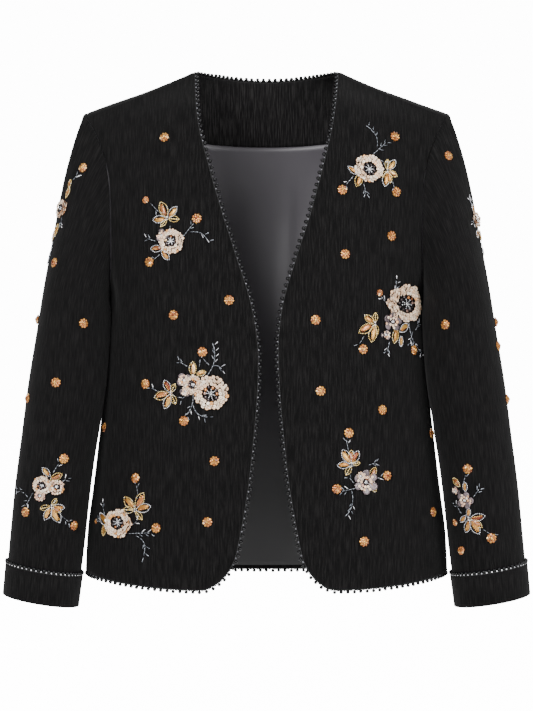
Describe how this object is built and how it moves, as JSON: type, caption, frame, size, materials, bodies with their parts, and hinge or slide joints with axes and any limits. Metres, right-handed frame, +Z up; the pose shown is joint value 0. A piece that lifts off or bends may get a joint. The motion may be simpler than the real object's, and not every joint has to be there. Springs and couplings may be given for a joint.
{
  "type": "embroidered jacket",
  "caption": "Collarless open-front hip-length jacket in worn form, hollow, with set-in sleeves, turned-back cuffs, beaded picot edging and scattered floral sequin embroidery.",
  "frame": {"origin": "midway between the two shoulder-neck points, where the wearer's neck and shoulders hold the jacket", "axes": "+Z up, -Y to the front of the jacket, +X to the wearer's left"},
  "size_m": [0.5724, 0.2222, 0.5849],
  "materials": {
    "shell_cloth": "matt slubbed pile cloth",
    "lining_satin": "soft satin",
    "jet_edging": "glossy beads",
    "embroidery_beadwork": "gold, cream and silver beads, sequins and cut petals"
  },
  "bodies": {
    "root": {"front_right": "shell_cloth", "front_left": "shell_cloth", "back": "shell_cloth", "sleeve_right": "shell_cloth", "sleeve_left": "shell_cloth", "cuff_right": "shell_cloth", "cuff_left": "shell_cloth", "back_neck_facing": "shell_cloth", "back_lining": "lining_satin", "trim_front_right": "jet_edging", "trim_front_left": "jet_edging", "trim_hem_back": "jet_edging", "trim_back_neck": "jet_edging", "trim_cuff_right": "jet_edging", "trim_cuff_left": "jet_edging", "spray_right_chest": "embroidery_beadwork", "spray_right_waist": "embroidery_beadwork", "spray_right_hem": "embroidery_beadwork", "spray_left_chest": "embroidery_beadwork", "spray_left_middle": "embroidery_beadwork", "spray_left_waist": "embroidery_beadwork", "spray_right_sleeve_top": "embroidery_beadwork", "spray_right_sleeve_foot": "embroidery_beadwork", "spray_left_sleeve_top": "embroidery_beadwork", "spray_left_sleeve_foot": "embroidery_beadwork"}
  },
  "joints": []
}
